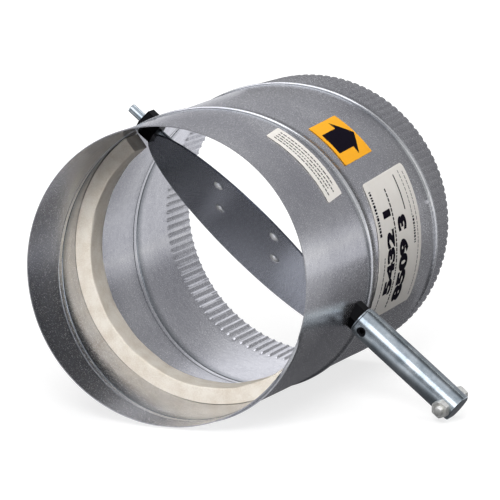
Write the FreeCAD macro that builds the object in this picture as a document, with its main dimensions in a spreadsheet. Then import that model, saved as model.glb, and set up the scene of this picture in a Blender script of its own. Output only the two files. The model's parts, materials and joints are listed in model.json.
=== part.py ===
import FreeCAD, Part
import math
import os
import Sketcher
from FreeCAD import Placement, Rotation, Vector

# Barometric relief damper: a length of galvanised spiral pipe with a crimped outlet end.
# A round blade hangs on a cross shaft above the pipe's centre and closes against a foam stop.
# Outside the pipe the shaft carries a round bar, which takes the arm of a counterweight.
# The damper lies on a floor, as it does on a bench: on its spiral seam and on the end of the bar.
# Row frame: origin at the centre of the plain inlet rim, +Y along the pipe, +Z up.

DIMENSIONS = (
    # the pipe
    ("pipe_radius", 101.6),
    ("pipe_length", 267.0),
    ("sheet_gauge", 0.7),
    ("seam_pitch", 124.0),
    ("seam_phase", 10.2),
    ("seam_base", 7.0),
    ("seam_crown", 4.4),
    ("seam_rise", 1.6),
    ("crimp_length", 37.0),
    ("crimp_crest_drop", 1.2),
    ("crimp_depth", 0.9),
    ("crimp_count", 112),
    ("crimp_groove_share", 0.55),
    # the foam stop
    ("foam_front", 75.1),
    ("foam_width", 21.0),
    ("foam_thickness", 11.6),
    ("foam_end_gap", 1.6),
    ("glue_line", 0.1),
    # the shaft and its bushings
    ("shaft_radius", 3.175),
    ("shaft_offset", 31.6),
    ("shaft_stub", 12.4),
    ("shaft_chamfer", 0.5),
    ("running_gap", 0.05),
    ("bushing_flats", 16.7),
    ("bushing_height", 5.4),
    ("neck_radius", 5.5),
    ("nut_depth", 7.6),
    # the blade
    ("blade_edge_gap", 5.8),
    ("blade_gauge", 1.2),
    ("blade_seat_gap", 0.5),
    ("blade_shaft_gap", 0.3),
    ("blade_nut_gap", 0.8),
    ("open_angle", 56.6),
    # the saddle straps and their rivets
    ("strap_length", 71.0),
    ("strap_width", 12.7),
    ("strap_gauge", 1.2),
    ("strap_spacing", 52.2),
    ("strap_shift", 3.0),
    ("rivet_spacing", 56.0),
    ("rivet_radius", 1.6),
    ("rivet_head_radius", 3.9),
    ("rivet_head_height", 1.9),
    ("rivet_bulb_radius", 2.4),
    # the bar and its fasteners
    ("bar_radius", 10.67),
    ("bar_length", 89.5),
    ("washer_radius", 9.9),
    ("washer_gauge", 0.8),
    ("end_play", 0.2),
    ("bar_chamfer", 0.6),
    ("bar_bore_depth", 25.4),
    ("bar_turn", -42.6),
    ("screw_radius", 3.5),
    ("screw_setback", 6.5),
    ("screw_sink", 1.4),
    ("screw_key_flats", 3.5),
    ("screw_key_depth", 2.4),
    ("bolt_radius", 3.175),
    ("bolt_setback", 7.0),
    ("bolt_tip", 2.2),
    ("hex_flats", 11.1),
    ("head_height", 4.1),
    ("nut_height", 5.0),
    # the stickers: each one's middle along the pipe, its angle round it, its sides and its tilt
    ("sticker_gauge", 0.25),
    ("notice_station", 74.5),
    ("notice_angle", -83.5),
    ("notice_length", 26.5),
    ("notice_width", 62.0),
    ("notice_corner", 1.5),
    ("notice_tilt", 5.8),
    ("arrow_station", 145.6),
    ("arrow_angle", -86.9),
    ("arrow_length", 52.5),
    ("arrow_width", 36.0),
    ("arrow_corner", 1.0),
    ("arrow_tilt", 3.0),
    ("data_station", 169.5),
    ("data_angle", -39.5),
    ("data_length", 79.0),
    ("data_width", 98.0),
    ("data_corner", 4.0),
    ("data_tilt", 3.0),
)

doc = FreeCAD.newDocument("barometric_damper")
sizes = doc.addObject("Spreadsheet::Sheet", "sizes")
for line, (alias, number) in enumerate(DIMENSIONS, start=1):
    sizes.set("A%d" % line, alias)
    sizes.set("B%d" % line, str(number))
    sizes.setAlias("B%d" % line, alias)
doc.recompute()


def value(formula):
    """Work out a formula of the sheet's sizes."""
    return float(getattr(sizes.evalExpression(formula), "Value", sizes.evalExpression(formula)))


# Lengths that several pieces share, as formulas of the sheet's sizes.
OUTER = "(sizes.pipe_radius + sizes.sheet_gauge)"
STRAIGHT = "(sizes.pipe_length - sizes.crimp_length)"
BLADE_BACK = "(sizes.shaft_radius + sizes.blade_shaft_gap)"
BLADE_FRONT = "(sizes.shaft_radius + sizes.blade_shaft_gap + sizes.blade_gauge)"
FOAM_REAR = "(sizes.foam_front + sizes.foam_width)"
STATION = "(%s + sizes.blade_seat_gap + %s)" % (FOAM_REAR, BLADE_FRONT)
INNER_REACH = "sqrt(sizes.pipe_radius^2 - sizes.shaft_offset^2)"
OUTER_REACH = "sqrt(%s^2 - sizes.shaft_offset^2)" % OUTER
NUT_FACE = "(%s - sizes.nut_depth)" % INNER_REACH
BUSHING_FACE = "(%s + sizes.bushing_height)" % OUTER_REACH
HEX_RADIUS = "(sizes.bushing_flats / sqrt(3))"
BORE = "(sizes.shaft_radius + sizes.running_gap)"
BAR_NEAR = "(%s + sizes.washer_gauge + 2 * sizes.end_play)" % BUSHING_FACE
BAR_FAR = "(%s + sizes.bar_length)" % BAR_NEAR
BAR_FLOOR = "(%s + sizes.bar_bore_depth)" % BAR_NEAR
BOLT_STATION = "(%s - sizes.bolt_setback)" % BAR_FAR
SCREW_STATION = "(%s + sizes.screw_setback)" % BAR_NEAR


def rest_roll():
    """Roll of the pipe, in degrees, at which its seam and the end of the bar both touch the floor."""
    rise = value("sizes.shaft_offset - sizes.bar_radius")
    reach = value(BAR_FAR)
    drop = value("%s + sizes.seam_rise" % OUTER)
    return math.degrees(math.acos(-drop / math.hypot(rise, reach)) - math.atan2(reach, rise))


# Pieces fixed to the pipe are drawn with the pipe along +Z, the shaft along +X and the blade's
# narrow side towards -Y. Pieces on the shaft are drawn with the shaft along +X through the origin,
# the narrow side of the blade towards +Y and the inlet towards +Z.
ROLL = Placement(Vector(0, 0, 0), Rotation(Vector(0, 1, 0), rest_roll()))
PIPE = ROLL * Placement(Vector(0, 0, 0), Rotation(Vector(1, 0, 0), -90))
SHAFT_POINT = Vector(0, value(STATION), value("sizes.shaft_offset"))
BLADE = ROLL * Placement(SHAFT_POINT, Rotation(Vector(1, 0, 0), 90 + value("sizes.open_angle")))
BAR = BLADE * Placement(Vector(0, 0, 0), Rotation(Vector(1, 0, 0), value("sizes.bar_turn")))
ALONG_X = Rotation(Vector(0, 1, 0), 90)
UPRIGHT = Rotation()

subparts = []


def bind(item, formulas):
    """Tie the item's properties to formulas of the sheet's sizes."""
    for name, formula in formulas.items():
        item.setExpression(name, formula)


def primitive(kind, name, formulas, turn=UPRIGHT, x="0", y="0", z="0"):
    """Add a primitive solid with its sizes and its place tied to the sheet."""
    item = doc.addObject(kind, name)
    item.Placement = Placement(Vector(0, 0, 0), turn)
    bind(item, formulas)
    bind(item, {"Placement.Base.x": x, "Placement.Base.y": y, "Placement.Base.z": z})
    return item


def cylinder(name, radius, height, turn=UPRIGHT, x="0", y="0", z="0"):
    return primitive("Part::Cylinder", name, {"Radius": radius, "Height": height}, turn, x, y, z)


def hexagon(name, circumradius, height, turn=UPRIGHT, x="0", y="0", z="0"):
    item = primitive("Part::Prism", name, {"Circumradius": circumradius, "Height": height}, turn, x, y, z)
    item.Polygon = 6
    return item


def join(name, *pieces):
    item = doc.addObject("Part::MultiFuse", name)
    item.Shapes = list(pieces)
    return item


def cut(name, base, tool):
    item = doc.addObject("Part::Cut", name)
    item.Base = base
    item.Tool = tool
    return item


def common(name, base, tool):
    item = doc.addObject("Part::Common", name)
    item.Base = base
    item.Tool = tool
    return item


def finish(item, label, place):
    """Name a finished sub-part and put it in its place in the damper."""
    item.Label = label
    item.Placement = place
    subparts.append(item)


def sketch_on(body, role, name):
    """Attach a new sketch to one of the body's own origin planes."""
    plane = [item for item in body.Origin.OriginFeatures if item.Role == role][0]
    sketch = body.newObject("Sketcher::SketchObject", name)
    sketch.AttachmentSupport = (plane, [""])
    sketch.MapMode = "FlatFace"
    return sketch


def pin_point(sketch, index, corner, x, y):
    """Hold a point of the sketch at x and y, both formulas of the sheet's sizes."""
    for kind, formula in (("DistanceX", x), ("DistanceY", y)):
        rule = Sketcher.Constraint(kind, -1, 1, index, corner, value(formula))
        sketch.setExpression("Constraints[%d]" % sketch.addConstraint(rule), formula)


def circle(sketch, x, y, radius):
    centre = Vector(value(x), value(y), 0)
    index = sketch.addGeometry(Part.Circle(centre, Vector(0, 0, 1), value(radius)), False)
    pin_point(sketch, index, 3, x, y)
    rule = sketch.addConstraint(Sketcher.Constraint("Radius", index, value(radius)))
    sketch.setExpression("Constraints[%d]" % rule, radius)


def outline(sketch, corners):
    """Draw a closed outline of straight lines through corners given as pairs of formulas."""
    points = [Vector(value(x), value(y), 0) for x, y in corners]
    lines = [Part.LineSegment(a, b) for a, b in zip(points, points[1:] + points[:1])]
    first = sketch.addGeometry(lines, False)[0]
    for step, (x, y) in enumerate(corners):
        before = first + (step - 1) % len(corners)
        sketch.addConstraint(Sketcher.Constraint("Coincident", before, 2, first + step, 1))
        pin_point(sketch, first + step, 1, x, y)


def rectangle(sketch, left, bottom, right, top):
    outline(sketch, ((left, bottom), (right, bottom), (right, top), (left, top)))


def feature(body, kind, name, sketch, formulas, **settings):
    """Add a sketch-based feature to the body."""
    item = body.newObject(kind, name)
    item.Profile = sketch
    for key, setting in settings.items():
        setattr(item, key, setting)
    bind(item, formulas)
    doc.recompute()
    return item


# The pipe: sheet steel wound in a spiral, its edges locked in one raised seam, the outlet crimped.

def flat_face(*corners):
    return Part.Face(Part.makePolygon(list(corners) + [corners[0]]))


def crimp_solid(name, radius):
    """A ring of flutes that deepen from nothing at the plain pipe to full depth at the outlet rim."""
    count = int(value("sizes.crimp_count"))
    half = math.pi / count
    mouth = half * value("sizes.crimp_groove_share")
    crest = radius - value("sizes.crimp_crest_drop")
    valley = crest - value("sizes.crimp_depth")

    def ring(height, reach, offset):
        """One corner for each flute, all at the same place in it."""
        angles = [2 * half * flute + offset for flute in range(count)]
        return [Vector(reach * math.cos(a), reach * math.sin(a), height) for a in angles]

    plain = ring(value(STRAIGHT), radius, -half)
    rim = value("sizes.pipe_length")
    left_lip = ring(rim, crest, -mouth)
    valleys = ring(rim, valley, 0)
    right_lip = ring(rim, crest, mouth)
    edge = [corner for flute in zip(left_lip, valleys, right_lip) for corner in flute]
    faces = [flat_face(*plain), flat_face(*edge)]
    for here in range(count):
        there = (here + 1) % count
        faces.append(flat_face(plain[here], left_lip[here], valleys[here]))
        faces.append(flat_face(plain[here], valleys[here], plain[there]))
        faces.append(flat_face(plain[there], valleys[here], right_lip[here]))
        faces.append(flat_face(plain[there], right_lip[here], left_lip[there]))
    item = doc.addObject("Part::Feature", name)
    item.Shape = Part.makeSolid(Part.makeShell(faces))
    return item


def seam_ridge():
    """The lock seam: a flat-topped ridge swept along one helix and trimmed at the rim and the crimp."""
    pitch = value("sizes.seam_pitch")
    run_out = value("sizes.seam_base")
    path = primitive("Part::Helix", "seam_path", {
        "Pitch": "sizes.seam_pitch",
        "Height": "%s + 2 * sizes.seam_base" % STRAIGHT,
        "Radius": OUTER,
    })
    section = doc.addObject("Part::Feature", "seam_section")
    radius = value(OUTER)
    foot = radius - value("sizes.sheet_gauge") / 2
    top = radius + value("sizes.seam_rise")
    base = value("sizes.seam_base") / 2
    crown = value("sizes.seam_crown") / 2
    corners = [(foot, -base), (radius, -base), (top, -crown), (top, crown), (radius, base), (foot, base)]
    points = [Vector(x, 0, z) for x, z in corners]
    section.Shape = Part.makePolygon(points + points[:1])
    sweep = doc.addObject("Part::Sweep", "seam_sweep")
    sweep.Sections = [section]
    sweep.Spine = (path, ["Edge1"])
    sweep.Solid = True
    sweep.Frenet = True
    turn = -value("sizes.seam_phase") - 360 * run_out / pitch
    sweep.Placement = Placement(Vector(0, 0, -run_out), Rotation(Vector(0, 0, 1), turn))
    sleeve = cylinder("seam_limit", "%s + 2 * sizes.seam_rise" % OUTER, STRAIGHT)
    return common("seam_ridge", sweep, sleeve)


def make_pipe():
    outside = join(
        "pipe_outside",
        cylinder("pipe_wall", OUTER, STRAIGHT),
        seam_ridge(),
        crimp_solid("crimp_outside", value(OUTER)),
    )
    inside = join(
        "pipe_inside",
        cylinder("pipe_cavity", "sizes.pipe_radius", STRAIGHT),
        crimp_solid("crimp_inside", value("sizes.pipe_radius")),
        cylinder(
            "bushing_holes",
            "sizes.neck_radius + sizes.running_gap",
            "2 * %s" % BAR_NEAR,
            ALONG_X,
            x="-%s" % BAR_NEAR,
            y="-sizes.shaft_offset",
            z=STATION,
        ),
    )
    finish(cut("pipe_shell", outside, inside), "duct_shell", PIPE)


# The foam stop: a strip of open-cell foam glued round the pipe on the wide side of the shaft.

def make_foam():
    body = doc.addObject("PartDesign::Body", "foam_body")
    section = sketch_on(body, "XZ_Plane", "foam_section")
    outside = "sizes.pipe_radius - sizes.glue_line"
    rectangle(section, "%s - sizes.foam_thickness" % outside, "sizes.foam_front", outside, FOAM_REAR)
    # its two ends stop short of the nuts on either side
    end_rise = value("sizes.shaft_offset - %s - sizes.foam_end_gap" % HEX_RADIUS)
    end_angle = math.degrees(math.asin(end_rise / value("sizes.pipe_radius - sizes.foam_thickness")))
    ring = feature(body, "PartDesign::Revolution", "foam_ring", section, {})
    ring.ReferenceAxis = (section, ["V_Axis"])
    ring.Angle = 180 + 2 * end_angle
    doc.recompute()
    lowest = Vector(0, 1, 0)
    middle = body.Shape.CenterOfMass
    turn = math.degrees(math.atan2(lowest.y, lowest.x) - math.atan2(middle.y, middle.x))
    finish(body, "foam_stop", PIPE * Placement(Vector(0, 0, 0), Rotation(Vector(0, 0, 1), turn)))


# The bushings: black nylon, a hexagon head seated on the pipe and a neck through its wall,
# held by a hexagon nut inside. Each face that meets the pipe is trimmed to the pipe's curve.

def make_bushing(side, turn):
    """One bushing and its nut; turn is the half turn that carries them to the other side."""
    height = {"y": "-sizes.shaft_offset", "z": STATION}
    blank = hexagon(side + "_head_blank", HEX_RADIUS, BUSHING_FACE, ALONG_X, **height)
    head = cut(side + "_head", blank, cylinder(side + "_pipe_outside", OUTER, STRAIGHT))
    neck = cylinder(side + "_neck", "sizes.neck_radius", "%s - %s - 0.5 * sizes.bushing_height"
                    % (BUSHING_FACE, NUT_FACE), ALONG_X, x=NUT_FACE, **height)
    bore = cylinder(side + "_bore", BORE, "1.2 * %s" % BUSHING_FACE, ALONG_X, **height)
    finish(cut(side + "_bushing", join(side + "_bushing_blank", head, neck), bore),
           "bushing_" + side, PIPE * turn)
    nut_blank = hexagon(side + "_nut_blank", HEX_RADIUS, BUSHING_FACE, ALONG_X, x=NUT_FACE, **height)
    nut = common(side + "_nut_body", nut_blank, cylinder(side + "_pipe_inside", "sizes.pipe_radius", STRAIGHT))
    thread = cylinder(side + "_thread", "sizes.neck_radius + sizes.running_gap", BUSHING_FACE, ALONG_X,
                      x="0.5 * %s" % NUT_FACE, **height)
    finish(cut(side + "_nut", nut, thread), "bushing_nut_" + side, PIPE * turn)


# The stickers: thin vinyl wrapped on the pipe, each a rounded rectangle laid square to the seam.

def make_sticker(name):
    """A sticker, its corners rounded, cut from a thin skin just off the pipe's wall."""
    inner = value("%s + sizes.glue_line" % OUTER)
    outer = inner + value("sizes.sticker_gauge")
    width = value("sizes.%s_width" % name)
    length = value("sizes.%s_length" % name)
    skin = Part.makeCylinder(outer, value(STRAIGHT)).cut(Part.makeCylinder(inner, value(STRAIGHT)))
    cutter = Part.makeBox(inner, width, length, Vector(0, -width / 2, -length / 2))
    square_edges = [edge for edge in cutter.Edges if abs(edge.tangentAt(0).x) > 0.9]
    cutter = cutter.makeFillet(value("sizes.%s_corner" % name), square_edges)
    cutter.rotate(Vector(0, 0, 0), Vector(1, 0, 0), value("sizes.%s_tilt" % name))
    cutter.translate(Vector(inner / 2, 0, value("sizes.%s_station" % name)))
    cutter.rotate(Vector(0, 0, 0), Vector(0, 0, 1), value("sizes.%s_angle" % name))
    item = doc.addObject("Part::Feature", name + "_cut")
    item.Shape = skin.common(cutter)
    finish(item, name + "_sticker", PIPE)


# The shaft and the blade: a zinc-plated disc held to the shaft by two saddle straps and four rivets.

def make_shaft():
    body = doc.addObject("PartDesign::Body", "shaft_body")
    section = sketch_on(body, "XY_Plane", "shaft_section")
    stub = "-(%s + sizes.shaft_stub)" % BUSHING_FACE
    end = "(%s - sizes.blade_shaft_gap)" % BAR_FLOOR
    lean = "(sizes.shaft_radius - sizes.shaft_chamfer)"
    outline(section, (
        (stub, "0"),
        (end, "0"),
        (end, lean),
        ("%s - sizes.shaft_chamfer" % end, "sizes.shaft_radius"),
        ("%s + sizes.shaft_chamfer" % stub, "sizes.shaft_radius"),
        (stub, lean),
    ))
    turned = feature(body, "PartDesign::Revolution", "shaft_turned", section, {})
    turned.ReferenceAxis = (section, ["H_Axis"])
    turned.Angle = 360
    finish(body, "shaft", BLADE)


def rivet_places():
    """The four rivets' places on the blade, as pairs of formulas."""
    for across in ("-0.5", "0.5"):
        for along in ("-0.5", "0.5"):
            yield (
                "%s * sizes.strap_spacing" % across,
                "%s * sizes.rivet_spacing + sizes.strap_shift" % along,
            )


def make_blade():
    body = doc.addObject("PartDesign::Body", "blade_body")
    disc = sketch_on(body, "XY_Plane", "blade_outline")
    circle(disc, "0", "-sizes.shaft_offset", "sizes.pipe_radius - sizes.blade_edge_gap")
    disc.AttachmentOffset = Placement(Vector(0, 0, value(BLADE_BACK)), Rotation())
    disc.setExpression("AttachmentOffset.Base.z", BLADE_BACK)
    feature(body, "PartDesign::Pad", "blade_sheet", disc, {"Length": "sizes.blade_gauge"})
    # two shallow notches let the blade's edge pass the nuts
    notch = sketch_on(body, "XY_Plane", "nut_notches")
    deep = "(%s - sizes.blade_nut_gap)" % NUT_FACE
    half = "(%s + sizes.blade_nut_gap)" % HEX_RADIUS
    rectangle(notch, deep, "-" + half, "sizes.pipe_radius", half)
    rectangle(notch, "-sizes.pipe_radius", "-" + half, "-" + deep, half)
    feature(body, "PartDesign::Pocket", "notch_cut", notch, {"Length": "2 * %s" % BLADE_FRONT}, Reversed=True)
    holes = sketch_on(body, "XY_Plane", "rivet_holes")
    for x, y in rivet_places():
        circle(holes, x, y, "sizes.rivet_radius + sizes.running_gap")
    feature(body, "PartDesign::Pocket", "rivet_cut", holes, {"Length": "2 * %s" % BLADE_FRONT}, Reversed=True)
    finish(body, "blade_plate", BLADE)


def make_strap(side, across):
    """A strip of steel behind the blade, bent over the shaft; across places it along the shaft."""
    start = "%s * sizes.strap_spacing - 0.5 * sizes.strap_width" % across
    strip = primitive(
        "Part::Box",
        side + "_strip",
        {"Length": "sizes.strap_width", "Width": "sizes.strap_length", "Height": "sizes.strap_gauge"},
        x=start,
        y="sizes.strap_shift - 0.5 * sizes.strap_length",
        z="%s - sizes.strap_gauge" % BLADE_BACK,
    )
    saddle = cylinder(side + "_saddle", "%s + sizes.strap_gauge" % BORE, "sizes.strap_width", ALONG_X, x=start)
    seat = cylinder(side + "_seat", BORE, "sizes.strap_width", ALONG_X, x=start)
    blade_room = primitive(
        "Part::Box",
        side + "_blade_room",
        {"Length": "sizes.strap_width", "Width": "sizes.strap_length", "Height": "sizes.pipe_radius"},
        x=start,
        y="sizes.strap_shift - 0.5 * sizes.strap_length",
        z=BLADE_BACK,
    )
    holes = [
        cylinder("%s_strap_hole%d" % (side, number), "sizes.rivet_radius + sizes.running_gap",
                 "2 * " + BLADE_BACK, x=x, y=y)
        for number, (x, y) in enumerate(rivet_places())
        if x.startswith(across)
    ]
    tools = join(side + "_strap_tools", seat, blade_room, *holes)
    finish(cut(side + "_strap", join(side + "_strap_blank", strip, saddle), tools), "blade_strap_" + side, BLADE)


def make_rivets():
    """Four blind rivets, with a bevelled head in front and a short bulb behind the strap."""
    back = "(%s - sizes.strap_gauge)" % BLADE_BACK
    rivets = []
    for number, (x, y) in enumerate(rivet_places()):
        shank = primitive("Part::Prism", "rivet_shank%d" % number, {
            "Circumradius": "sizes.rivet_radius",
            "Height": "%s - %s" % (BLADE_FRONT, back),
        }, x=x, y=y, z=back)
        shank.Polygon = 12
        head = primitive("Part::Cone", "rivet_head%d" % number, {
            "Radius1": "sizes.rivet_head_radius",
            "Radius2": "0.5 * sizes.rivet_head_radius",
            "Height": "sizes.rivet_head_height",
        }, x=x, y=y, z=BLADE_FRONT)
        bulb = primitive("Part::Prism", "rivet_bulb%d" % number, {
            "Circumradius": "sizes.rivet_bulb_radius",
            "Height": "sizes.rivet_radius",
        }, x=x, y=y, z="%s - sizes.rivet_radius" % back)
        bulb.Polygon = 12
        rivets.append(join("rivet%d" % number, shank, head, bulb))
    group = doc.addObject("Part::Compound", "rivet_group")
    group.Links = rivets
    finish(group, "blade_rivets", BLADE)


def make_washer():
    """The thrust washer that turns with the bar and rubs on the right bushing."""
    disc = cylinder("washer_disc", "sizes.washer_radius", "sizes.washer_gauge", ALONG_X,
                    x="%s + sizes.end_play" % BUSHING_FACE)
    hole = cylinder("washer_hole", BORE, "3 * sizes.washer_gauge", ALONG_X, x=BUSHING_FACE)
    finish(cut("washer_solid", disc, hole), "thrust_washer", BLADE)


# The bar: zinc-plated steel, bored to slide on the shaft's end and locked there by a set screw.
# A bolt through its far end is for the counterweight's arm.

def make_bar():
    body = doc.addObject("PartDesign::Body", "bar_body")
    section = sketch_on(body, "XY_Plane", "bar_section")
    shoulder = "(sizes.bar_radius - sizes.bar_chamfer)"
    outline(section, (
        (BAR_NEAR, BORE),
        (BAR_NEAR, shoulder),
        ("%s + sizes.bar_chamfer" % BAR_NEAR, "sizes.bar_radius"),
        ("%s - sizes.bar_chamfer" % BAR_FAR, "sizes.bar_radius"),
        (BAR_FAR, shoulder),
        (BAR_FAR, "0"),
        (BAR_FLOOR, "0"),
        (BAR_FLOOR, BORE),
    ))
    turned = feature(body, "PartDesign::Revolution", "bar_turned", section, {})
    turned.ReferenceAxis = (section, ["H_Axis"])
    turned.Angle = 360
    doc.recompute()
    screw = sketch_on(body, "XY_Plane", "screw_hole")
    circle(screw, SCREW_STATION, "0", "sizes.screw_radius + sizes.running_gap")
    feature(body, "PartDesign::Pocket", "screw_tap", screw, {"Length": "sizes.bar_radius"}, Reversed=True)
    cross = sketch_on(body, "XY_Plane", "bolt_hole")
    circle(cross, BOLT_STATION, "0", "sizes.bolt_radius + sizes.running_gap")
    feature(body, "PartDesign::Pocket", "bolt_drill", cross, {"Length": "2 * sizes.bar_radius"}, Midplane=True)
    finish(body, "counterweight_bar", BAR)


def make_set_screw():
    length = "(sizes.bar_radius - sizes.screw_sink - sizes.shaft_radius)"
    shank = cylinder("screw_shank", "sizes.screw_radius", length, x=SCREW_STATION, z="sizes.shaft_radius")
    key = hexagon("screw_key", "sizes.screw_key_flats / sqrt(3)", "sizes.bar_radius", x=SCREW_STATION,
                  z="sizes.bar_radius - sizes.screw_sink - sizes.screw_key_depth")
    finish(cut("set_screw", shank, key), "bar_set_screw", BAR)


def make_cross_bolt():
    """A hexagon bolt from the outlet side, its nut and its bare end towards the inlet."""
    radius = "sizes.hex_flats / sqrt(3)"
    head = hexagon("bolt_head", radius, "sizes.head_height", x=BOLT_STATION,
                   z="-sizes.bar_radius - sizes.head_height")
    shank = cylinder("bolt_shank", "sizes.bolt_radius", "2 * sizes.bar_radius + sizes.nut_height + sizes.bolt_tip",
                     x=BOLT_STATION, z="-sizes.bar_radius")
    finish(join("cross_bolt_blank", head, shank), "bar_cross_bolt", BAR)
    nut = hexagon("nut_blank", radius, "sizes.nut_height", x=BOLT_STATION, z="sizes.bar_radius")
    hole = cylinder("nut_hole", "sizes.bolt_radius + sizes.running_gap", "2 * sizes.nut_height",
                    x=BOLT_STATION, z="sizes.bar_radius - 0.5 * sizes.nut_height")
    finish(cut("cross_nut_solid", nut, hole), "bar_cross_nut", BAR)


make_pipe()
make_foam()
make_bushing("right", Placement())
make_bushing("left", Placement(Vector(0, 0, value("2 * %s" % STATION)), Rotation(Vector(0, 1, 0), 180)))
for sticker_name in ("notice", "arrow", "data"):
    make_sticker(sticker_name)
make_shaft()
make_blade()
make_strap("left", "-0.5")
make_strap("right", "0.5")
make_rivets()
make_washer()
make_bar()
make_set_screw()
make_cross_bolt()
doc.recompute()

for item in doc.Objects:
    if "Invalid" in item.State or "Error" in item.State:
        raise RuntimeError("%s failed: %s" % (item.Name, item.State))
for item in subparts:
    if item.Shape.isNull() or not item.Shape.isValid():
        raise RuntimeError("%s has no valid solid" % item.Label)
    item.Shape.exportStep("parts/%s.step" % item.Label)
    print(item.Label, len(item.Shape.Solids), round(item.Shape.Volume, 1))
print("roll", round(rest_roll(), 3), "station", round(value(STATION), 3), "far", round(value(BAR_FAR), 3))
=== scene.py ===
import json
import math
import random
import bpy
import bmesh
import numpy as np
from mathutils import Matrix, Vector


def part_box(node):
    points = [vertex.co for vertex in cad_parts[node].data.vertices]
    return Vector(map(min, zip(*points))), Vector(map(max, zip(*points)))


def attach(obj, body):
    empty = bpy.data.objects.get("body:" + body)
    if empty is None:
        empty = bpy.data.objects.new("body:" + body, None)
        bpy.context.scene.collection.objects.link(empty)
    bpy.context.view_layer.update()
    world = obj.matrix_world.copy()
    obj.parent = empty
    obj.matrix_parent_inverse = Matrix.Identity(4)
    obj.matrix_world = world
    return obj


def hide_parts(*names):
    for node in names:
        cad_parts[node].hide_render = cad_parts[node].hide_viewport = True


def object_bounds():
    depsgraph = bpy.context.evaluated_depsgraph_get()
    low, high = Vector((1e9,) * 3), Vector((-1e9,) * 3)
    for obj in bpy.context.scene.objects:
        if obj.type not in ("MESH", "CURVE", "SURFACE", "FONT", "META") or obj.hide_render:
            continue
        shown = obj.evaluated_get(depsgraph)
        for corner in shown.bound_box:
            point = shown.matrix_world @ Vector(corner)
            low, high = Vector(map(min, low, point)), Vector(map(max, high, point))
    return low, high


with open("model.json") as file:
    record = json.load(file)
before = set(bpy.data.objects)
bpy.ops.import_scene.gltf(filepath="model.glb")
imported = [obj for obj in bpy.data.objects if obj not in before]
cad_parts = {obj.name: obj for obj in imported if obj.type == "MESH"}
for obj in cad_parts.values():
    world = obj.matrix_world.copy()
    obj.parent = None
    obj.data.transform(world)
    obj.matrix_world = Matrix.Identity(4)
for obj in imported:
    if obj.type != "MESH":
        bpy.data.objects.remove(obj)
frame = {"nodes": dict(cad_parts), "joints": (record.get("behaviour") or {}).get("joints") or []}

# The camera and the studio: a long lens a little above and to the right of the inlet. A sheet of
# white paper is the floor, with one broad lamp overhead and a smaller one in front. Glowing grey
# cards stand round the object, as round any polished work; they light nothing, and only its shiny
# surfaces show them, as painted reflections.

mm = 0.001
cad_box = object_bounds()
scene = bpy.context.scene
scene.view_settings.view_transform = "Standard"


def linear(hex_code):
    """An sRGB hex colour as linear red, green, blue and full alpha."""
    parts = [int(hex_code[i:i + 2], 16) / 255 for i in (0, 2, 4)]
    return [p / 12.92 if p <= 0.04045 else ((p + 0.055) / 1.055) ** 2.4 for p in parts] + [1.0]


def add(tree, kind, links=None, **settings):
    """Add a shader node, set its properties, and give its sockets a value or a link."""
    node = tree.nodes.new(kind)
    for name, setting in settings.items():
        setattr(node, name, setting)
    for socket, source in (links or {}).items():
        if isinstance(source, bpy.types.NodeSocket):
            tree.links.new(source, node.inputs[socket])
        else:
            node.inputs[socket].default_value = source
    return node


def seen_directly(tree):
    """1 for rays from the camera and for reflected and refracted ones, 0 for rays that gather light."""
    ray = add(tree, "ShaderNodeLightPath")
    seen = add(tree, "ShaderNodeMath", {0: ray.outputs["Is Camera Ray"], 1: ray.outputs["Is Glossy Ray"]},
               operation="MAXIMUM")
    seen = add(tree, "ShaderNodeMath", {0: seen.outputs[0], 1: ray.outputs["Is Transmission Ray"]},
               operation="MAXIMUM")
    return seen.outputs[0]


view_azimuth = math.radians(23.0)
view_elevation = math.radians(10.32)
view_distance = 3238.75 * mm
aim_right = 56.55 * mm
aim_up = 18.21 * mm
right = Vector((math.cos(view_azimuth), math.sin(view_azimuth), 0))
backward = Vector((
    math.sin(view_azimuth) * math.cos(view_elevation),
    -math.cos(view_azimuth) * math.cos(view_elevation),
    math.sin(view_elevation),
))
upward = backward.cross(right)
camera_data = bpy.data.cameras.new("camera")
camera_data.lens = 349.2
camera_data.sensor_width = 36.0
camera_data.clip_end = 50.0     # beyond the floor's far edge
camera = bpy.data.objects.new("camera", camera_data)
scene.collection.objects.link(camera)
turn = Matrix((right, upward, backward)).transposed()
camera.matrix_world = Matrix.Translation(
    right * aim_right + upward * aim_up + backward * view_distance
) @ turn.to_4x4()
scene.camera = camera

floor_level = cad_box[0][2]
floor_size = 30.0
floor_mesh = bpy.data.meshes.new("floor")
floor_mesh.from_pydata(
    [(x * floor_size, y * floor_size, floor_level) for x, y in ((-1, -1), (1, -1), (1, 1), (-1, 1))],
    [], [(0, 1, 2, 3)],
)
floor = bpy.data.objects.new("floor", floor_mesh)
scene.collection.objects.link(floor)
floor_paint = bpy.data.materials.new("white_paper_floor")
floor_paint.use_nodes = True
tree = floor_paint.node_tree
tree.nodes.clear()
# the paper is grey for the light that it throws on the object, which keeps the pipe dark inside,
# and to the eye it is white, with the object's shadow, and whiter still further off
paper = add(tree, "ShaderNodeBsdfDiffuse", {"Color": linear("9c9c9c")})
away = add(tree, "ShaderNodeVectorMath", {0: add(tree, "ShaderNodeTexCoord").outputs["Object"]},
           operation="LENGTH")
whiten = add(tree, "ShaderNodeMapRange", {"Value": away.outputs["Value"], "From Min": 0.3, "From Max": 1.2,
                                          "To Min": 0.75, "To Max": 1.0})
glow = add(tree, "ShaderNodeEmission", {"Color": linear("ffffff"), "Strength": whiten.outputs[0]})
lit = add(tree, "ShaderNodeAddShader", {0: paper.outputs[0], 1: glow.outputs[0]})
mix = add(tree, "ShaderNodeMixShader", {0: seen_directly(tree), 1: paper.outputs[0], 2: lit.outputs[0]})
add(tree, "ShaderNodeOutputMaterial", {"Surface": mix.outputs[0]})
floor.data.materials.append(floor_paint)

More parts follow.
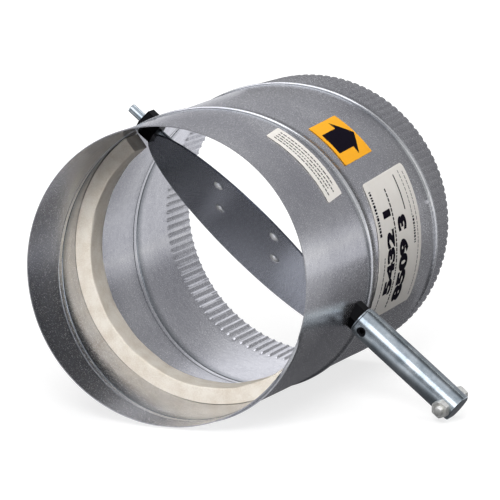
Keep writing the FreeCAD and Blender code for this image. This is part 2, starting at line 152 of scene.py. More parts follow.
world = bpy.data.worlds.new("studio")
scene.world = world
world.use_nodes = True
tree = world.node_tree
tree.nodes.clear()
ambient = add(tree, "ShaderNodeBackground", {"Color": linear("ffffff"), "Strength": 0.22})
backdrop = add(tree, "ShaderNodeBackground", {"Color": linear("ffffff"), "Strength": 1.0})
mix = add(tree, "ShaderNodeMixShader", {0: seen_directly(tree), 1: ambient.outputs[0],
                                        2: backdrop.outputs[0]})
add(tree, "ShaderNodeOutputWorld", {"Surface": mix.outputs[0]})

lamps_aim = Vector((0.02, 0.12, 0))
LAMPS = (
    # name, place in metres, size in metres, watts
    ("lamp_overhead", (0.35, 0.1, 2.0), 3.0, 31.0),
    ("lamp_front", (0.55, -1.75, 1.22), 0.9, 42.0),
)
for name, place, size, watts in LAMPS:
    lamp_data = bpy.data.lights.new(name, "AREA")
    lamp_data.shape = "DISK"
    lamp_data.size = size
    lamp_data.energy = watts
    lamp = bpy.data.objects.new(name, lamp_data)
    lamp.location = place
    lamp.visible_glossy = False
    lamp.rotation_euler = (lamps_aim - Vector(place)).to_track_quat("-Z", "Y").to_euler()
    scene.collection.objects.link(lamp)


def lying(z, *places):
    """The corners of a card that lies flat, from x and y in metres."""
    return [(x, y, z) for x, y in places]


def standing(y, *places):
    """The corners of a card that stands across the pipe's axis, from x and z in metres."""
    return [(x, y, z) for x, z in places]


# the card round the outlet is a collar, given by radius in metres and angle in degrees
COLLAR = ((0.105, -60), (0.105, -30), (0.105, 0), (0.105, 35), (0.105, 70), (0.105, 105), (0.105, 130),
          (0.156, 130), (0.158, 105), (0.162, 70), (0.166, 35), (0.166, 0), (0.160, -30), (0.115, -60))
collar_places = [(r * math.cos(math.radians(a)), r * math.sin(math.radians(a))) for r, a in COLLAR]
CARDS = (
    # name, corners, the glowing grey at each end of a line, and that line's two ends in metres
    ("card_back", standing(3.2, (-5.0, 0.0), (5.0, 0.0), (5.0, 3.6), (-5.0, 3.6)),
     0.85, 0.40, (0, 3.2, 0.05), (0, 3.2, 0.42)),
    ("card_floor_far", lying(-0.103, (-1.0, 0.3), (1.6, 0.3), (3.4, 3.1), (-3.4, 3.1)),
     0.16, 0.86, (0, 0.28, -0.1), (0, 0.60, -0.1)),
    ("card_floor_near", lying(-0.102, (-1.0, 0.16), (1.2, 0.16), (1.6, 0.75), (0.30, 0.75), (0.05, 0.32),
                              (-1.0, 0.32)),
     0.13, 0.76, (0.05, 0, -0.1), (0.1276, -0.031, -0.1)),
    ("card_floor_bar", lying(-0.102, (-1.0, -0.03), (1.2, -0.03), (1.2, 0.16), (-1.0, 0.16)),
     0.72, 0.12, (0, 0.0, -0.1), (0, 0.09, -0.1)),
    ("card_floor_front", lying(-0.102, (-2.2, -2.2), (2.2, -2.2), (1.2, -0.03), (-1.0, -0.03)),
     0.40, 0.72, (0, -0.25, -0.1), (0, -0.03, -0.1)),
    ("card_front", standing(-2.2, (-3.0, -0.1), (3.0, -0.1), (3.0, 1.9), (-3.0, 1.9)),
     0.42, 2.4, (0, -2.2, 0.35), (0, -2.2, 0.78)),
    ("card_above", lying(1.9, (-3.0, -2.2), (3.0, -2.2), (3.0, 1.5), (-3.0, 1.5)),
     0.85, 0.15, (0, -0.3, 1.9), (0, 0.9, 1.9)),
    ("card_high_left", lying(1.85, (-1.5, 0.4), (0.7, 0.4), (0.7, 2.2), (-1.5, 2.2)),
     2.2, 2.4, (-1.5, 0, 1.85), (0.7, 0, 1.85)),
    ("card_ring", standing(0.33, *collar_places),
     0.22, 0.27, (0.1, 0.33, 0), (0, 0.33, 0.1)),
    ("card_behind_outlet", standing(0.45, (-0.15, -0.075), (-0.03, -0.075), (-0.03, 0.08), (-0.15, 0.08)),
     0.42, 1.15, (-0.035, 0.45, 0), (-0.08, 0.45, -0.0135)),
)
for name, corners, grey_from, grey_to, line_from, line_to in CARDS:
    data = bpy.data.meshes.new(name)
    data.from_pydata(corners, [], [tuple(range(len(corners)))])
    card = bpy.data.objects.new(name, data)
    scene.collection.objects.link(card)
    paint = bpy.data.materials.new(name + "_grey")
    paint.use_nodes = True
    tree = paint.node_tree
    tree.nodes.clear()
    # the share of the way along the line, from a dot product
    line = Vector(line_to) - Vector(line_from)
    along = add(tree, "ShaderNodeVectorMath", {0: add(tree, "ShaderNodeTexCoord").outputs["Object"],
                                               1: line / line.length_squared}, operation="DOT_PRODUCT")
    start = Vector(line_from).dot(line) / line.length_squared
    grey = add(tree, "ShaderNodeMapRange", {"Value": along.outputs["Value"], "From Min": start,
                                            "From Max": start + 1, "To Min": grey_from, "To Max": grey_to},
               interpolation_type="SMOOTHSTEP")
    # each card glows with its grey and only reflections show it: a painted reflection on the metal
    flat = add(tree, "ShaderNodeEmission", {"Color": linear("f6f7ff"), "Strength": grey.outputs[0]})
    add(tree, "ShaderNodeOutputMaterial", {"Surface": flat.outputs[0]})
    data.materials.append(paint)
    card.visible_camera = False
    card.visible_diffuse = False
    card.visible_shadow = False


# The pipe: 24 gauge hot-dip galvanised sheet wound in a spiral and locked in one raised seam.
# The outlet end is run through a crimping wheel, so it slips into the next pipe. The seam stands
# outside as a ridge whose crown is painted bright, and shows inside as a fine groove.

joint = frame["joints"][0]
shaft_along = Vector(joint["axis"])
shaft_point = Vector(joint["pos_m"])
roll = math.atan2(-shaft_along.z, shaft_along.x)
pipe_radius = 101.6
sheet = 0.7
outer_radius = pipe_radius + sheet
pipe_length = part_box("duct_shell")[1][1] / mm
crimp_length = 37.0
crimp_start = pipe_length - crimp_length
seam_pitch = 124.0
seam_phase = 10.2           # degrees from the shaft where the seam leaves the inlet rim
seam_half_width = 3.6
flutes = 112
columns = flutes * 8


def on_pipe(radius, along, angle):
    """Points in metres, from radii and lengths in mm and angles in degrees from the shaft."""
    turned = np.radians(angle) - roll
    return np.stack([radius * np.cos(turned), along + 0 * turned, radius * np.sin(turned)], -1) * mm


def mesh_piece(name, points, faces, smooth_angle, marks=None):
    """Make a mesh object, merge doubled points, and shade it smooth up to the given angle."""
    data = bpy.data.meshes.new(name)
    data.from_pydata([tuple(p) for p in points], [], faces)
    for mark, amounts in (marks or {}).items():
        data.attributes.new(mark, "FLOAT", "POINT").data.foreach_set("value", amounts)
    work = bmesh.new()
    work.from_mesh(data)
    bmesh.ops.remove_doubles(work, verts=work.verts, dist=0.002 * mm)
    bmesh.ops.dissolve_degenerate(work, edges=work.edges, dist=0.001 * mm)
    bmesh.ops.recalc_face_normals(work, faces=work.faces)
    work.to_mesh(data)
    work.free()
    piece = bpy.data.objects.new(name, data)
    scene.collection.objects.link(piece)
    data.shade_smooth()
    data.set_sharp_from_angle(angle=math.radians(smooth_angle))
    return piece


# the seam's two faces, as mm along the pipe from its middle and mm out from the wall
SEAM_OUTSIDE = ((-3.6, 0.0), (-3.3, 0.28), (-3.0, 0.34), (-2.6, 0.85), (-2.0, 1.24), (-1.2, 1.46),
                (-0.4, 1.55), (0.4, 1.55), (1.2, 1.46), (2.0, 1.24), (2.6, 0.85), (3.0, 0.34),
                (3.3, 0.28), (3.6, 0.0))
SEAM_INSIDE = ((-3.7, 0.0), (-3.4, 0.45), (-2.8, 0.50), (-2.4, 0.05), (2.2, 0.18), (2.6, 0.50),
               (3.3, 0.45), (3.6, 0.0))
SEAM_LINES = sorted(set([q for q, _ in SEAM_OUTSIDE] + [q for q, _ in SEAM_INSIDE]))


def seam_offset(along, angle):
    """Distance in mm along the pipe from the nearest turn of the seam."""
    first = seam_pitch * (seam_phase - angle) / 360
    return (along - first + seam_pitch / 2) % seam_pitch - seam_pitch / 2


def seam_left(along):
    """How much of the seam is left: the crimping wheel presses it flat over its last 8 mm."""
    return np.clip((252 - along) / 8.0, 0, 1)


def crimp_from(angle):
    """Where the grooves begin, in mm: they stop short of the seam where it runs into the crimp."""
    half_crown = 1.9
    # the seam's last turn, counted from 20 degrees before the shaft
    line = seam_pitch * (2 + (seam_phase - (np.asarray(angle) + 20) % 360 + 20) / 360)
    # past 247 mm the seam is pressed flat, and the grooves come back to the full length by 253 mm
    pushed = np.clip(line + half_crown - crimp_start, 0, None) * np.clip((253 - line) / 6, 0, 1)
    return crimp_start + np.where(line > crimp_start - 2, pushed, 0)


def flute_depth(along, angle):
    """How far the crimp pushes the wall inwards, in mm: flat crests and narrow rounded grooves."""
    taper = 1.2
    groove_depth = 0.95
    groove_half_width = 0.23        # as a share of the way from one groove to the next
    reach = np.clip((along - crimp_start) / crimp_length, 0, 1)
    run_in = np.clip((along - crimp_from(angle)) / 3.0, 0, 1)
    across = np.abs((angle * flutes / 360 + 0.5) % 1 - 0.5) / groove_half_width
    groove = np.clip(1 - across, 0, 1)
    groove = groove * (1.6 - 0.6 * groove)
    return taper * reach + run_in * groove * (groove_depth - 0.15 * reach)


# height share, waves round the pipe, drift per mm along it, start
WALL_WAVES = ((1.0, 2, 0.021, 0.0), (0.6, 5, -0.034, 1.3), (0.4, 9, 0.05, 0.4))


def wall_wave(along, angle):
    """The faint unevenness of a wound sheet, in mm."""
    turned = np.radians(angle)
    waves = sum(share * np.sin(lobes * turned + along * drift + start)
                for share, lobes, drift, start in WALL_WAVES)
    return 0.10 * waves - 0.12


def wall_radius(along, angle, outside):
    """Radius in mm of the outer or inner skin of the pipe."""
    seam = SEAM_OUTSIDE if outside else SEAM_INSIDE
    lift = np.interp(seam_offset(along, angle), [q for q, _ in seam], [h for _, h in seam]) * seam_left(along)
    base = outer_radius if outside else pipe_radius
    # the waves die out over 20 mm at the rim and at the crimp
    calm = np.clip((crimp_start - along) / 20, 0, 1) * np.clip(along / 20, 0, 1)
    return base + lift - flute_depth(along, angle) + calm * wall_wave(along, angle)


def pipe_rows():
    """Lengths along the pipe, one row of them for each line that runs with the seam or the crimp."""
    angle = np.linspace(0, 360, columns + 1)
    between = np.linspace(seam_half_width, seam_pitch - seam_half_width, 14)[1:-1]
    lines = []
    for turn_count in range(4):
        for offset in SEAM_LINES + list(between):
            lines.append(seam_pitch * (turn_count + (seam_phase - angle) / 360) + offset)
    rows = [np.clip(line, 0, crimp_start) for line in sorted(lines, key=lambda line: line[0])]
    steps = list(np.arange(0, 24, 0.75)) + [26, 29, 32, 35, 36.6, crimp_length]
    return np.array([0 * angle] + rows + [0 * angle + crimp_start + step for step in steps]), angle


rows, angles = pipe_rows()
grid = np.broadcast_to(angles, rows.shape)
outer_skin = on_pipe(wall_radius(rows, grid, True), rows, grid)
inner_skin = on_pipe(wall_radius(rows, grid, False), rows, grid)
points = np.concatenate([outer_skin.reshape(-1, 3), inner_skin.reshape(-1, 3)])
row_count, column_count = rows.shape
inner_start = row_count * column_count
faces = []
for i in range(row_count - 1):
    for j in range(column_count - 1):
        a = i * column_count + j
        b = a + 1
        c = b + column_count
        d = a + column_count
        faces.append((a, b, c, d))
        faces.append((inner_start + a, inner_start + d, inner_start + c, inner_start + b))
for i in (0, row_count - 1):
    for j in range(column_count - 1):
        a = i * column_count + j
        faces.append((a, a + 1, inner_start + a + 1, inner_start + a))

# The seam's light and shade are painted: a painted highlight along its crown outside and along one
# lip inside, painted shade and grime in its folds outside, and painted shade in its slots inside.
# Each is given as mm from the seam's middle, then strength.
CROWN_PAINTED_HIGHLIGHT = ((1.0, 2.0), (1.0, 0.0))
FOLDS_PAINTED_SHADE = ((2.3, 2.9, 3.3, 4.0), (0.0, 0.9, 0.7, 0.0))
LIP_PAINTED_HIGHLIGHT = ((0.8, 1.8, 2.6, 3.0), (0.0, 1.0, 1.0, 0.0))
SLOTS_PAINTED_SHADE = ((-3.8, -3.4, -2.8, -2.2, 2.9, 3.2, 3.6, 4.0), (0, 1, 1, 0, 0, 0.8, 0.8, 0))
offset = seam_offset(rows, grid)
left = seam_left(rows)
crown = np.interp(np.abs(offset), *CROWN_PAINTED_HIGHLIGHT) * left
folds = np.interp(np.abs(offset), *FOLDS_PAINTED_SHADE) * left
lip = np.interp(offset, *LIP_PAINTED_HIGHLIGHT) * left
slots = np.interp(offset, *SLOTS_PAINTED_SHADE) * left
# the seam's painted highlight and painted shade go on the mesh as two marks: the first on its crown and lip,
# the second in its folds and slots
pipe_skin = mesh_piece("pipe_skin", points, faces, 50.0, {
    "painted_highlight": np.concatenate([crown.ravel(), 0.85 * lip.ravel()]),
    "painted_shade_and_grime": np.concatenate([0.75 * folds.ravel(), 0.85 * slots.ravel()]),
})
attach(pipe_skin, "duct")
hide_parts("duct_shell")


def plain_material(name, colour, metallic, roughness, **sockets):
    """A new material with its principled shader set; returns the material, its tree and its shader."""
    made = bpy.data.materials.new(name)
    made.use_nodes = True
    shader = made.node_tree.nodes["Principled BSDF"]
    shader.inputs["Base Color"].default_value = linear(colour)
    shader.inputs["Metallic"].default_value = metallic
    shader.inputs["Roughness"].default_value = roughness
    for socket, setting in sockets.items():
        shader.inputs[socket.replace("_", " ")].default_value = setting
    return made, made.node_tree, shader


def galvanised(name, dark, light, roughness, metallic):
    """Hot-dip galvanised sheet: rolled grain, a faint spangle, fine speckle and cloudy patches."""
    made, tree, shader = plain_material(name, light, metallic, roughness)
    place = add(tree, "ShaderNodeTexCoord").outputs["Object"]
    # rolling lines 0.5 mm apart run round the pipe for 25 mm
    rolling_scale = (1 / (25.0 * mm), 1 / (0.5 * mm), 1 / (25.0 * mm))
    stretch = add(tree, "ShaderNodeVectorMath", {0: place, 1: rolling_scale}, operation="MULTIPLY")
    grain = add(tree, "ShaderNodeTexNoise", {"Vector": stretch.outputs[0], "Scale": 1.0, "Detail": 3.0})
    spangle = add(tree, "ShaderNodeTexVoronoi", {"Vector": place, "Scale": 1 / (4.0 * mm)})
    speckle = add(tree, "ShaderNodeTexNoise", {"Vector": place, "Scale": 1 / (0.9 * mm), "Detail": 2.0})
    cloud = add(tree, "ShaderNodeTexNoise", {"Vector": place, "Scale": 1 / (70.0 * mm), "Detail": 3.0})
    # the four are added up one by one, and all but the clouds are felt in the relief too
    height = add(tree, "ShaderNodeMath", {0: grain.outputs["Fac"], 1: 0.20}, operation="MULTIPLY")
    for pattern, share in ((spangle.outputs["Distance"], 0.10), (speckle.outputs["Fac"], 0.35)):
        height = add(tree, "ShaderNodeMath", {0: pattern, 1: share, 2: height.outputs[0]},
                     operation="MULTIPLY_ADD")
    all_four = add(tree, "ShaderNodeMath", {0: cloud.outputs["Fac"], 1: 0.45, 2: height.outputs[0]},
                   operation="MULTIPLY_ADD")
    tone = add(tree, "ShaderNodeMapRange", {"Value": all_four.outputs[0], "From Min": 0.38, "From Max": 0.72})
    colour = add(tree, "ShaderNodeMix", {0: tone.outputs[0], "A": linear(dark), "B": linear(light)},
                 data_type="RGBA")
    # the painted highlight is nearly white, and the painted shade and grime in the seam's folds and slots is
    # a dark blue grey
    for mark, shade in (("painted_highlight", "f6f8f8"), ("painted_shade_and_grime", "34444a")):
        amount = add(tree, "ShaderNodeAttribute", attribute_name=mark)
        colour = add(tree, "ShaderNodeMix", {0: amount.outputs["Fac"], "A": colour.outputs["Result"],
                                             "B": linear(shade)}, data_type="RGBA")
    rough = add(tree, "ShaderNodeMapRange", {
        "Value": speckle.outputs["Fac"], "From Min": 0.3, "From Max": 0.7,
        "To Min": roughness - 0.06, "To Max": roughness + 0.08})
    relief = add(tree, "ShaderNodeBump", {"Height": height.outputs[0], "Strength": 0.22,
                                          "Distance": 0.1 * mm})
    tree.links.new(colour.outputs["Result"], shader.inputs["Base Color"])
    tree.links.new(rough.outputs[0], shader.inputs["Roughness"])
    tree.links.new(relief.outputs[0], shader.inputs["Normal"])
    return made


# the zinc's oxide skin scatters a tenth of the light, so no part of the sheet goes quite black
pipe_steel = galvanised("rolled_galvanised_steel", "a4a4aa", "dedede", 0.21, 0.9)
pipe_skin.data.materials.append(pipe_steel)


# The foam stop: a strip of open-cell polyurethane foam, cut from sheet and glued round the wall
# on the blade's wide side. Its cut faces are soft, pale and slightly uneven.

foam_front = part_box("foam_stop")[0][1] / mm
foam_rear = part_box("foam_stop")[1][1] / mm
foam_outer = pipe_radius - 0.35
foam_inner = pipe_radius - 11.7
foam_past_shaft = 12.9      # degrees that each end runs on past the shaft
face_inset = 0.1
corner = 1.1
corner_steps = 5
leans = [math.radians(90 * step / corner_steps) for step in range(corner_steps + 1)]
# the strip's outline, as mm along the pipe and radius in mm
section = [(foam_front + face_inset, foam_outer), (foam_front + face_inset, (foam_inner + foam_outer) / 2)]
section += [(foam_front + face_inset + corner * (1 - math.cos(lean)),
             foam_inner + corner * (1 - math.sin(lean))) for lean in leans]
section += [(foam_front + (foam_rear - foam_front) * share, foam_inner) for share in (0.25, 0.5, 0.75)]
section += [(foam_rear - face_inset - corner * (1 - math.sin(lean)),
             foam_inner + corner * (1 - math.cos(lean))) for lean in leans]
section.append((foam_rear - face_inset, foam_outer))
foam_angles = np.linspace(180 - foam_past_shaft, 360 + foam_past_shaft, 260)
rng = np.random.default_rng(7)
phases = rng.uniform(0, 6.28, 8)
foam_points = []
for angle in foam_angles:
    for number, (along, radius) in enumerate(section):
        waves = sum(math.sin(math.radians(angle) * (6 + 5 * k) + phases[k] + number * 0.35) for k in range(4))
        swell = 0.22 * waves / 2
        # the free faces lie back from a clean cut by a varying part of a millimetre
        set_back = max(0.0, swell + 0.2) if radius < foam_outer - 1 else 0.0
        foam_points.append(on_pipe(np.array(radius + set_back), np.array(along), np.array(angle)))
count = len(section)
foam_faces = []
for i in range(len(foam_angles) - 1):
    for j in range(count):
        k = (j + 1) % count
        foam_faces.append((i * count + j, i * count + k, (i + 1) * count + k, (i + 1) * count + j))
foam_faces.append(tuple(range(count)))
foam_faces.append(tuple(reversed(range((len(foam_angles) - 1) * count, len(foam_angles) * count))))
foam_strip = mesh_piece("foam_strip", foam_points, foam_faces, 60.0)
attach(foam_strip, "duct")
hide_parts("foam_stop")

# open cells take the shine away altogether, and the foam yellows a little in patches
foam, tree, shader = plain_material("open_cell_polyurethane_foam", "ece2d2", 0.0, 0.95,
                                    Specular_IOR_Level=0.1)
place = add(tree, "ShaderNodeTexCoord").outputs["Object"]
# cells about 0.9 mm across
cells = add(tree, "ShaderNodeTexVoronoi", {"Vector": place, "Scale": 1 / (0.9 * mm)})
patches = add(tree, "ShaderNodeTexNoise", {"Vector": place, "Scale": 1 / (9.0 * mm), "Detail": 4.0})
shade = add(tree, "ShaderNodeMath", {0: cells.outputs["Distance"], 1: 0.35, 2: patches.outputs["Fac"]},
            operation="MULTIPLY_ADD")
tone = add(tree, "ShaderNodeMapRange", {"Value": shade.outputs[0], "From Min": 0.45, "From Max": 0.85})
colour = add(tree, "ShaderNodeMix", {0: tone.outputs[0], "A": linear("e3d8c8"), "B": linear("f6efe3")},
             data_type="RGBA")
relief = add(tree, "ShaderNodeBump", {"Height": cells.outputs["Distance"], "Strength": 0.5,
                                      "Distance": 0.3 * mm})
tree.links.new(colour.outputs["Result"], shader.inputs["Base Color"])
tree.links.new(relief.outputs[0], shader.inputs["Normal"])
foam_strip.data.materials.append(foam)


# The bushings and their nuts: black nylon, moulded, with a faint satin skin. The bushings' heads
# seat on the outside of the pipe and the nuts on the inside.

def dress(names, finish):
    """Give CAD nodes a material in all their slots."""
    for name in names:
        data = frame["nodes"][name].data
        data.materials.clear()
        data.materials.append(finish)


# the mould gives the nylon a satin skin with a grain of 0.8 mm, and edges rounded by 0.45 mm
nylon, tree, shader = plain_material("moulded_black_nylon", "030304", 0.0, 0.30, Specular_IOR_Level=0.07)
place = add(tree, "ShaderNodeTexCoord").outputs["Object"]
skin = add(tree, "ShaderNodeTexNoise", {"Vector": place, "Scale": 1 / (0.8 * mm), "Detail": 3.0})
rough = add(tree, "ShaderNodeMapRange", {"Value": skin.outputs["Fac"], "To Min": 0.30, "To Max": 0.50})
rounded = add(tree, "ShaderNodeBevel", {"Radius": 0.45 * mm}, samples=6)
relief = add(tree, "ShaderNodeBump", {"Height": skin.outputs["Fac"], "Strength": 0.2, "Distance": 0.05 * mm,
                                      "Normal": rounded.outputs[0]})
tree.links.new(rough.outputs[0], shader.inputs["Roughness"])
tree.links.new(relief.outputs[0], shader.inputs["Normal"])
dress(("bushing_left", "bushing_right", "bushing_nut_left", "bushing_nut_right"), nylon)


# The stickers: printed vinyl, stuck on the pipe after it is made. They carry plain rules, plain
# numbers and an arrow, printed in black ink.

def sticker_vinyl(name, colour, worn):
    """Vinyl film: a low satin shine, a little worn in patches, laid down not quite flat."""
    made, tree, shader = plain_material(name, colour, 0.0, 0.42, Specular_IOR_Level=0.18)
    place = add(tree, "ShaderNodeTexCoord").outputs["Object"]
    tone = add(tree, "ShaderNodeTexNoise", {"Vector": place, "Scale": 1 / (14.0 * mm), "Detail": 5.0})
    mixed = add(tree, "ShaderNodeMix", {0: tone.outputs["Fac"], "A": linear(worn), "B": linear(colour)},
                data_type="RGBA")
    relief = add(tree, "ShaderNodeBump", {"Height": tone.outputs["Fac"], "Strength": 0.1,
                                          "Distance": 0.2 * mm})
    tree.links.new(mixed.outputs["Result"], shader.inputs["Base Color"])
    tree.links.new(relief.outputs[0], shader.inputs["Normal"])
    return made


white_vinyl = sticker_vinyl("printed_white_vinyl", "efebe6", "e0dbd4")
yellow_vinyl = sticker_vinyl("printed_yellow_vinyl", "feb406", "f6a800")
# the ink dries matt, and thinner in places
black_ink, tree, shader = plain_material("screen_printed_black_ink", "0b0812", 0.0, 0.8,
                                         Specular_IOR_Level=0.02)
place = add(tree, "ShaderNodeTexCoord").outputs["Object"]
thin = add(tree, "ShaderNodeTexNoise", {"Vector": place, "Scale": 1 / (2.0 * mm), "Detail": 4.0})
colour = add(tree, "ShaderNodeMix", {0: thin.outputs["Fac"], "A": linear("0b0812"), "B": linear("15111c")},
             data_type="RGBA")
tree.links.new(colour.outputs["Result"], shader.inputs["Base Color"])
dress(("notice_sticker", "data_sticker"), white_vinyl)
dress(("arrow_sticker",), yellow_vinyl)
sticker_thickness = 0.35
sticker_face = outer_radius + sticker_thickness
ink_layer = 0.06
ink_sunk = 0.01


def on_sticker(place, along, across, lift):
    """A point on a sticker: along the pipe and across it in mm from the sticker's centre."""
    station, angle, slant = place       # mm along the pipe, degrees from the shaft, degrees of slant
    tilt = math.radians(slant)
    side = across * math.cos(tilt) - along * math.sin(tilt)
    length = across * math.sin(tilt) + along * math.cos(tilt)
    swing = math.degrees(math.asin(side / sticker_face))
    return Vector(on_pipe(np.array(sticker_face + lift), np.array(station + length), np.array(angle - swing)))


def wrap_ink(name, place, work):
    """Cut flat ink into narrow strips, give it a thickness and wrap it on its sticker."""
    for cut in np.arange(-60, 60, 2.0):
        geometry = list(work.verts) + list(work.edges) + list(work.faces)
        bmesh.ops.bisect_plane(work, geom=geometry, plane_co=(0, cut, 0), plane_no=(0, 1, 0))
    made = bmesh.ops.extrude_face_region(work, geom=list(work.faces))
    for item in made["geom"]:
        if isinstance(item, bmesh.types.BMVert):
            item.co.z = ink_layer
    for vert in work.verts:
        vert.co = on_sticker(place, vert.co.x, vert.co.y, vert.co.z - ink_sunk)
    bmesh.ops.recalc_face_normals(work, faces=work.faces)
    data = bpy.data.meshes.new(name)
    work.to_mesh(data)
    work.free()
    data.materials.append(black_ink)
    piece = bpy.data.objects.new(name, data)
    scene.collection.objects.link(piece)
    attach(piece, "duct")


def print_shapes(name, place, shapes):
    """Print flat shapes, lists of corners in sticker mm."""
    work = bmesh.new()
    for shape in shapes:
        work.faces.new([work.verts.new((x, y, 0)) for x, y in shape])
    wrap_ink(name, place, work)


def bar(x, y, length, height):
    """A rectangle whose long side runs across the sticker."""
    return [(x, y), (x + height, y), (x + height, y + length), (x, y + length)]


def broken_line(x, start, end, height, longest, seed):
    """A row of short bars with gaps, as a line of small print looks from afar."""
    draw = random.Random(seed)
    shapes = []
    y = start
    while y < end:
        length = draw.uniform(0.35, 1.0) * longest
        shapes.append(bar(x, y, min(length, end - y), height))
        y += length + draw.uniform(0.5, 0.9)
    return shapes


notice_place = (74.5, 83.5, 5.8)
lines = []
for row, x in enumerate((-8.0, -3.4, 1.4, 6.4)):
    lines += broken_line(x, -27.0, 27.0 - 4.0 * (row % 2), 1.5, 3.4, 11 + row)
print_shapes("notice_print", notice_place, lines)

arrow_place = (145.6, 86.9, 3.0)
arrow_shape = [(24.5, 0), (5.6, 15.0), (5.6, 8.8), (-21.5, 8.8), (-21.5, -8.8), (5.6, -8.8), (5.6, -15.0)]
print_shapes("arrow_print", arrow_place, [arrow_shape])

data_place = (169.5, 39.5, 3.0)
# place along the pipe, start and end across it, height and longest bar of each row, all in mm
DATA_ROWS = ((-36.0, -43.0, -11.0, 3.6, 2.4), (-30.0, 4.0, 44.0, 1.2, 3.4), (-8.6, -40.0, 44.0, 2.0, 3.2),
             (33.0, -44.0, 44.0, 0.8, 3.0), (26.0, -46.0, -14.0, 0.8, 3.0), (26.0, -14.0, 5.0, 3.0, 1.8))
lines = []
for seed, row in enumerate(DATA_ROWS, 31):
    lines += broken_line(*row, seed)
lines.append(bar(15.2, -45.0, 24.0, 1.6))
print_shapes("data_rules", data_place, lines)


def print_numbers(name, place, text, x, y, height, stretch):
    """Print plain numbers that read across the sticker, heavy as stamped ones."""
    letters = bpy.data.curves.new(name, "FONT")
    letters.body = text
    letters.size = 1.0
    letters.offset = 0.06
    holder = bpy.data.objects.new(name + "_curve", letters)
    scene.collection.objects.link(holder)
    bpy.context.view_layer.update()
    ready = holder.evaluated_get(bpy.context.evaluated_depsgraph_get())
    flat = bpy.data.meshes.new_from_object(ready)
    bpy.data.objects.remove(holder)
    work = bmesh.new()
    work.from_mesh(flat)
    bpy.data.meshes.remove(flat)
    for vert in work.verts:
        vert.co = Vector((x - vert.co.y * height, y - vert.co.x * height * stretch, 0))
    bmesh.ops.remove_doubles(work, verts=work.verts, dist=0.005)
    wrap_ink(name, place, work)


print_numbers("data_numbers_large", data_place, "5432 1", -11.6, 33.0, 17.0, 1.34)
print_numbers("data_numbers_second", data_place, "8509 3", 12.6, 42.0, 19.0, 1.16)


# The shaft, thrust washer, bar and cross bolt: cold-drawn steel with bright zinc plating, which
# is bluish, very shiny and a little cloudy. A set screw locks the bar on the end of the shaft.

def zinc_plate(name, dark, light, roughness, edge, metallic=1.0):
    """Plated or polished metal: clouds 12 mm across, speckle 0.7 mm across, edges rounded by edge mm."""
    made, tree, shader = plain_material(name, light, metallic, roughness)
    place = add(tree, "ShaderNodeTexCoord").outputs["Object"]
    cloud = add(tree, "ShaderNodeTexNoise", {"Vector": place, "Scale": 1 / (12.0 * mm), "Detail": 5.0})
    fine = add(tree, "ShaderNodeTexNoise", {"Vector": place, "Scale": 1 / (0.7 * mm), "Detail": 2.0})
    tone = add(tree, "ShaderNodeMapRange", {"Value": cloud.outputs["Fac"], "From Min": 0.3, "From Max": 0.7})
    colour = add(tree, "ShaderNodeMix", {0: tone.outputs[0], "A": linear(dark), "B": linear(light)},
                 data_type="RGBA")
    rough = add(tree, "ShaderNodeMapRange", {
        "Value": fine.outputs["Fac"], "From Min": 0.3, "From Max": 0.7,
        "To Min": roughness - 0.05, "To Max": roughness + 0.07})
    rounded = add(tree, "ShaderNodeBevel", {"Radius": edge * mm}, samples=6)
    relief = add(tree, "ShaderNodeBump", {"Height": fine.outputs["Fac"], "Strength": 0.3,
                                          "Distance": 0.05 * mm, "Normal": rounded.outputs[0]})
    tree.links.new(colour.outputs["Result"], shader.inputs["Base Color"])
    tree.links.new(rough.outputs[0], shader.inputs["Roughness"])
    tree.links.new(relief.outputs[0], shader.inputs["Normal"])
    return made


bright_zinc = zinc_plate("bright_zinc_plated_steel", "98a4aa", "d9e1e3", 0.16, 0.25)
# fasteners are plated loose in a barrel, so theirs is paler and duller than the bar's
dull_zinc = zinc_plate("tumbled_zinc_plated_fastener", "dcdcd8", "f4f4ee", 0.34, 0.12, 0.8)
dress(("shaft", "thrust_washer", "counterweight_bar"), bright_zinc)

# the bar's cross bolt is cold headed and its thread is rolled; head and nut are chamfered all round
rise = Vector((math.sin(roll), 0, math.cos(roll)))
inward = Vector((0, 1, 0))
blade_open = 56.6           # degrees from shut, as it rests
bar_behind_blade = 42.6     # degrees, where the set screw holds it
bolt_along_shaft = 186.397
bar_tilt = math.radians(90 + blade_open + 90 - bar_behind_blade)
bolt_direction = inward * math.cos(bar_tilt) + rise * math.sin(bar_tilt)
bolt_middle = shaft_point + shaft_along * bolt_along_shaft * mm


def ring_piece(name, middle, direction, rings, sides, finish, replaced):
    """A solid on the blade's body, through rings of (height, function from angle to radius and lift)."""
    first = direction.cross(shaft_along if abs(direction.dot(shaft_along)) < 0.9 else inward).normalized()
    second = direction.cross(first)
    points = []
    for height, shape in rings:
        for side in range(sides):
            angle = 2 * math.pi * side / sides
            radius, lift = shape(angle)
            points.append(middle + (direction * (height + lift)
                                    + (first * math.cos(angle) + second * math.sin(angle)) * radius) * mm)
    faces = []
    for ring in range(len(rings) - 1):
        for side in range(sides):
            after = (side + 1) % sides
            faces.append((ring * sides + side, ring * sides + after,
                          (ring + 1) * sides + after, (ring + 1) * sides + side))
    faces.append(tuple(reversed(range(sides))))
    faces.append(tuple(range((len(rings) - 1) * sides, len(rings) * sides)))
    piece = mesh_piece(name, points, faces, 30.0)
    piece.data.materials.append(finish)
    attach(piece, "blade")
    if replaced:
        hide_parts(replaced)


def round_ring(radius):
    """A plain circle."""
    return lambda angle: (radius, 0.0)


def hex_ring(apothem, chamfered=0.0):
    """A hexagon's corners pulled down where a chamfer of 30 degrees cuts them."""
    def shape(angle):
        away = (angle + math.pi / 6) % (math.pi / 3) - math.pi / 6
        radius = apothem / math.cos(away)
        return radius, -chamfered * (radius - apothem) * math.tan(math.radians(30))
    return shape


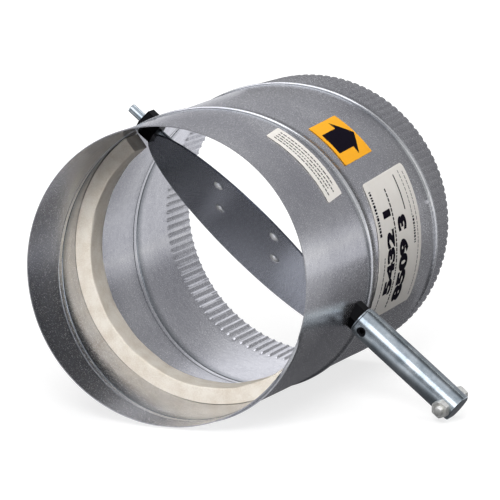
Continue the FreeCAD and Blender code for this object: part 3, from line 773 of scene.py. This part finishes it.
def thread_ring(height, pitch, outer, depth):
    """One turn of a rolled thread, whose crest climbs with the angle."""
    def shape(angle):
        wave = abs(((height / pitch - angle / (2 * math.pi)) % 1) * 2 - 1)
        return outer - depth * wave, 0.0
    return shape


bar_radius = 10.67
flats = 11.1 / 2            # from the bolt's axis to a flat of its head or nut
bolt_radius = 3.175
head_top = bar_radius + 4.1
nut_top = bar_radius + 5.0
ring_piece("cross_bolt_head", bolt_middle, -bolt_direction, [
    (bar_radius, hex_ring(flats)), (head_top, hex_ring(flats, 1.0)),
    (head_top, round_ring(flats * 0.95)),
], 48, dull_zinc, "bar_cross_bolt")
ring_piece("cross_bolt_nut", bolt_middle, bolt_direction, [
    (bar_radius, round_ring(flats * 0.95)), (bar_radius + 0.25, hex_ring(flats, -1.0)),
    (nut_top, hex_ring(flats, 1.0)), (nut_top, round_ring(flats * 0.94)),
    (nut_top - 0.6, round_ring(bolt_radius + 0.1)),
], 48, dull_zinc, "bar_cross_nut")
thread_pitch = 1.27
thread_depth = 0.5
thread_step = 0.16
thread = [(nut_top - 1.0 + thread_step * k,
           thread_ring(thread_step * k, thread_pitch, bolt_radius, thread_depth)) for k in range(18)]
thread += [(nut_top + 2.0, round_ring(2.6)), (nut_top + 2.2, round_ring(2.2))]
ring_piece("cross_bolt_thread", bolt_middle, bolt_direction, thread, 32, dull_zinc, None)
# the set screw is left in black oxide, which is nearly matt and shows only in its hole
black_oxide = zinc_plate("black_oxide_steel", "141416", "2a2a2d", 0.35, 0.15)
dress(("bar_set_screw",), black_oxide)


# The blade: a disc of galvanised sheet held to the shaft by two saddle straps and four aluminium
# blind rivets. Its colour is painted a darker blue grey than the pipe's, as painted shade for the
# shaded inside of the pipe that it reflects, and has the same speckle.

# the darker blue grey is painted shade for the pipe's shaded inside, which the blade reflects
blade_painted_shade = galvanised("galvanised_blade_sheet", "505868", "727884", 0.24, 1.0)
dress(("blade_plate", "blade_strap_left", "blade_strap_right"), blade_painted_shade)
# aluminium's thin skin of oxide is pale, and keeps the domes bright against the blade
rivet_metal = zinc_plate("bright_aluminium_rivet", "e4e6e8", "fafafa", 0.17, 0.1, 0.5)

# each rivet has a domed head with its snapped mandrel in the middle, and a bulb behind the strap,
# both given as mm of height and radius
blade_tilt = math.radians(90 + blade_open)
narrow_side = inward * math.cos(blade_tilt) + rise * math.sin(blade_tilt)
blade_out = inward * math.cos(blade_tilt + math.pi / 2) + rise * math.sin(blade_tilt + math.pi / 2)
front_of_blade = 4.675      # from the shaft's axis, as the next one
behind_strap = 2.275
HEAD_PROFILE = ((0.0, 1.6), (0.0, 3.9), (0.35, 3.88), (0.95, 3.35), (1.5, 2.45), (1.8, 1.5), (1.88, 1.05),
                (1.1, 0.95), (1.2, 0.3))
TAIL_PROFILE = ((0.0, 1.6), (0.0, 2.1), (-0.5, 2.4), (-1.1, 2.2), (-1.5, 1.5), (-1.6, 0.8))
RIVET_PLACES = ((-26.1, -25.0), (-26.1, 31.0), (26.1, -25.0), (26.1, 31.0))
for number, (along, up) in enumerate(RIVET_PLACES):
    middle = shaft_point + (shaft_along * along + narrow_side * up) * mm
    for part, profile, base in (("head", HEAD_PROFILE, front_of_blade), ("tail", TAIL_PROFILE, behind_strap)):
        rings = [(base + height, round_ring(radius)) for height, radius in profile]
        ring_piece("rivet_%s_%d" % (part, number), middle, blade_out, rings, 28, rivet_metal,
                   "blade_rivets")
